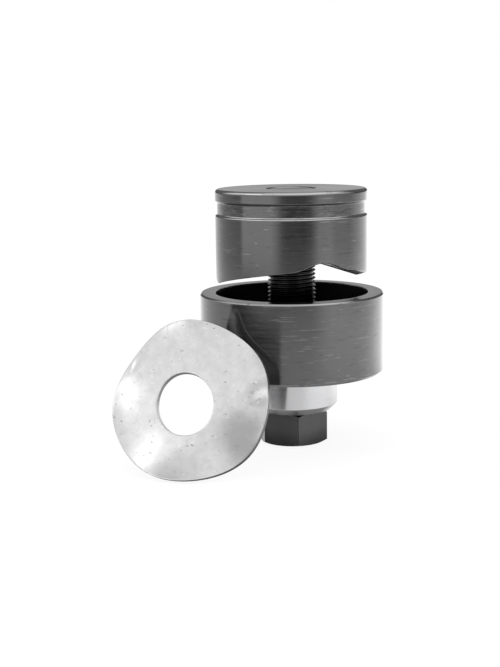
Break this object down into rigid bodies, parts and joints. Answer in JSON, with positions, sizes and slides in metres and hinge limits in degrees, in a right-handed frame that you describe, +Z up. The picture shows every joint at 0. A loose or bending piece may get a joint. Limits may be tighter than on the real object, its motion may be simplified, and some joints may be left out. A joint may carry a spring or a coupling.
{
  "type": "screw-driven sheet metal knockout punch",
  "caption": "Screw-driven hole punch for sheet metal: a wavy-edged punch is drawn into a cup die by a hex-head bolt on a ball thrust bearing. The slug it cut leans on the die.",
  "frame": {"origin": "centre of the bottom face of the draw bolt's hex head, on which the tool stands", "axes": "+Z up along the draw bolt's axis, toward the punch; -Y is the front, where the slug leans"},
  "size_m": [0.1043, 0.1004, 0.1015],
  "materials": {
    "die_steel": "black oxide on turned steel, satin",
    "punch_steel": "black oxide on turned steel, satin",
    "bolt_steel": "black oxide, lightly oiled",
    "bearing_shell_steel": "bright turned steel",
    "race_steel": "ground steel",
    "ball_steel": "polished",
    "cage_brass": "stamped",
    "slug_sheet": "bright galvanised sheet with handling marks"
  },
  "bodies": {
    "die_unit": {"die": "die_steel", "bearing_upper_race": "race_steel"},
    "bolt_unit": {"draw_bolt": "bolt_steel", "bearing_shell": "bearing_shell_steel", "bearing_lower_race": "race_steel"},
    "cage_unit": {"bearing_cage": "cage_brass", "bearing_ball_1": "ball_steel", "bearing_ball_2": "ball_steel", "bearing_ball_3": "ball_steel", "bearing_ball_4": "ball_steel", "bearing_ball_5": "ball_steel", "bearing_ball_6": "ball_steel", "bearing_ball_7": "ball_steel", "bearing_ball_8": "ball_steel", "bearing_ball_9": "ball_steel", "bearing_ball_10": "ball_steel", "bearing_ball_11": "ball_steel", "bearing_ball_12": "ball_steel"},
    "punch_unit": {"punch": "punch_steel"},
    "slug_unit": {"slug": "slug_sheet"}
  },
  "joints": [
    {"name": "punch_travel", "type": "slide", "parent": "die_unit", "child": "punch_unit", "axis": [0, 0, 1], "range_m": [-0.024, 0.02]},
    {"name": "bolt_spin", "type": "hinge", "parent": "die_unit", "child": "bolt_unit", "pos_m": [0, 0, 0], "axis": [0, 0, 1], "range_deg": [-4536, 5443]},
    {"name": "cage_orbit", "type": "hinge", "parent": "die_unit", "child": "cage_unit", "pos_m": [0, 0, 0], "axis": [0, 0, 1], "range_deg": [-2268, 2722]},
    {"name": "slug_pull", "type": "slide", "parent": "die_unit", "child": "slug_unit", "axis": [-0.2334, -0.9724, 0], "range_m": [0, 0.06]}
  ],
  "couplings": [
    {"joint": "bolt_spin", "follows": "punch_travel", "rad_per_m": -3957.9},
    {"joint": "cage_orbit", "follows": "punch_travel", "rad_per_m": -1979}
  ]
}
